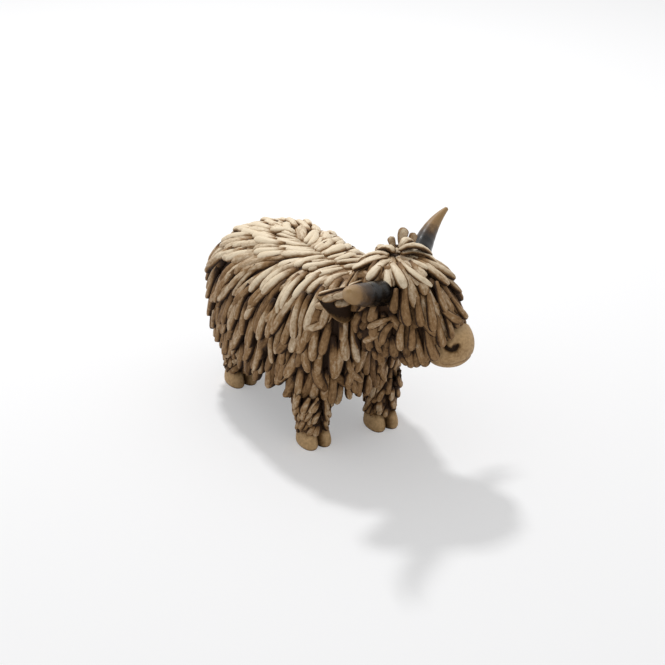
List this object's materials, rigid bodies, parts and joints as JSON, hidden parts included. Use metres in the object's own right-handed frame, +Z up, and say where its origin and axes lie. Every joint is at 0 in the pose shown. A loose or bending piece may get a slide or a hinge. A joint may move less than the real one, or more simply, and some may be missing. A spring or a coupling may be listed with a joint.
{
  "type": "shaggy long-horned cow figurine",
  "caption": "Standing shaggy cow ornament with its head turned, long horns and a coat of overlapping sculpted locks, for display on a shelf or table.",
  "frame": {"origin": "on the ground, under the middle of the whole figure's box", "axes": "+X the way the body faces, +Y the beast's left, +Z up"},
  "size_m": [0.2092, 0.1174, 0.131],
  "materials": {
    "core": "matt, dark wash in the recesses",
    "coat_back": "matt, dry-brushed pale over a dark wash",
    "coat_body": "matt, dry-brushed over a dark wash",
    "coat_head": "matt, dry-brushed over a dark wash",
    "coat_legs": "matt, dry-brushed over a dark wash",
    "horn": "glossy, black at the root and tan at the tip",
    "hoof": "satin",
    "ear": "matt",
    "muzzle": "satin"
  },
  "bodies": {
    "root": {"coat_back_left": "coat_back", "coat_back_right": "coat_back", "coat_cheek_left": "coat_head", "coat_cheek_right": "coat_head", "coat_chest": "coat_body", "coat_crown": "coat_head", "coat_flank_left": "coat_body", "coat_flank_right": "coat_body", "coat_forelock": "coat_head", "coat_leg_front_left": "coat_legs", "coat_leg_front_right": "coat_legs", "coat_leg_rear_left": "coat_legs", "coat_leg_rear_right": "coat_legs", "coat_nape": "coat_head", "coat_rump": "coat_body", "coat_skirt_left": "coat_body", "coat_skirt_right": "coat_body", "ear_left": "ear", "ear_right": "ear", "head": "core", "hoof_front_left": "hoof", "hoof_front_right": "hoof", "hoof_rear_left": "hoof", "hoof_rear_right": "hoof", "horn_left": "horn", "horn_right": "horn", "leg_front_left": "core", "leg_front_right": "core", "leg_rear_left": "core", "leg_rear_right": "core", "muzzle": "muzzle", "tail": "coat_body", "tail_tuft": "coat_body", "trunk": "core"}
  },
  "joints": []
}
